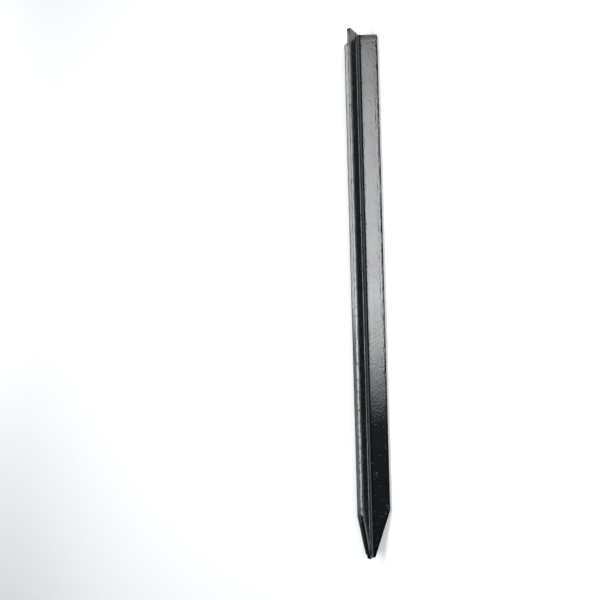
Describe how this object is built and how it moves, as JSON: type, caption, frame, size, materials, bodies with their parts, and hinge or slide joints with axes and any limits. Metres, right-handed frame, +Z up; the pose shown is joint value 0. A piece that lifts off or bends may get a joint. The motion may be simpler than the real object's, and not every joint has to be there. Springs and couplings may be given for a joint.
{
  "type": "star picket",
  "caption": "Black-painted steel star picket: a Y-section post with a square struck end, a sheared point and tie-wire holes.",
  "frame": {"origin": "on the surface that the picket lies on, below the middle of its box", "axes": "+Y along the post towards the struck end, with the point at -Y; +Z up, along the wing that stands up, which leans by 1.4 degrees because the stem is longer than the wing beside it"},
  "size_m": [0.0428, 0.6, 0.0363],
  "materials": {
    "black_paint": "gloss"
  },
  "bodies": {
    "root": {"picket": "black_paint"}
  },
  "joints": []
}
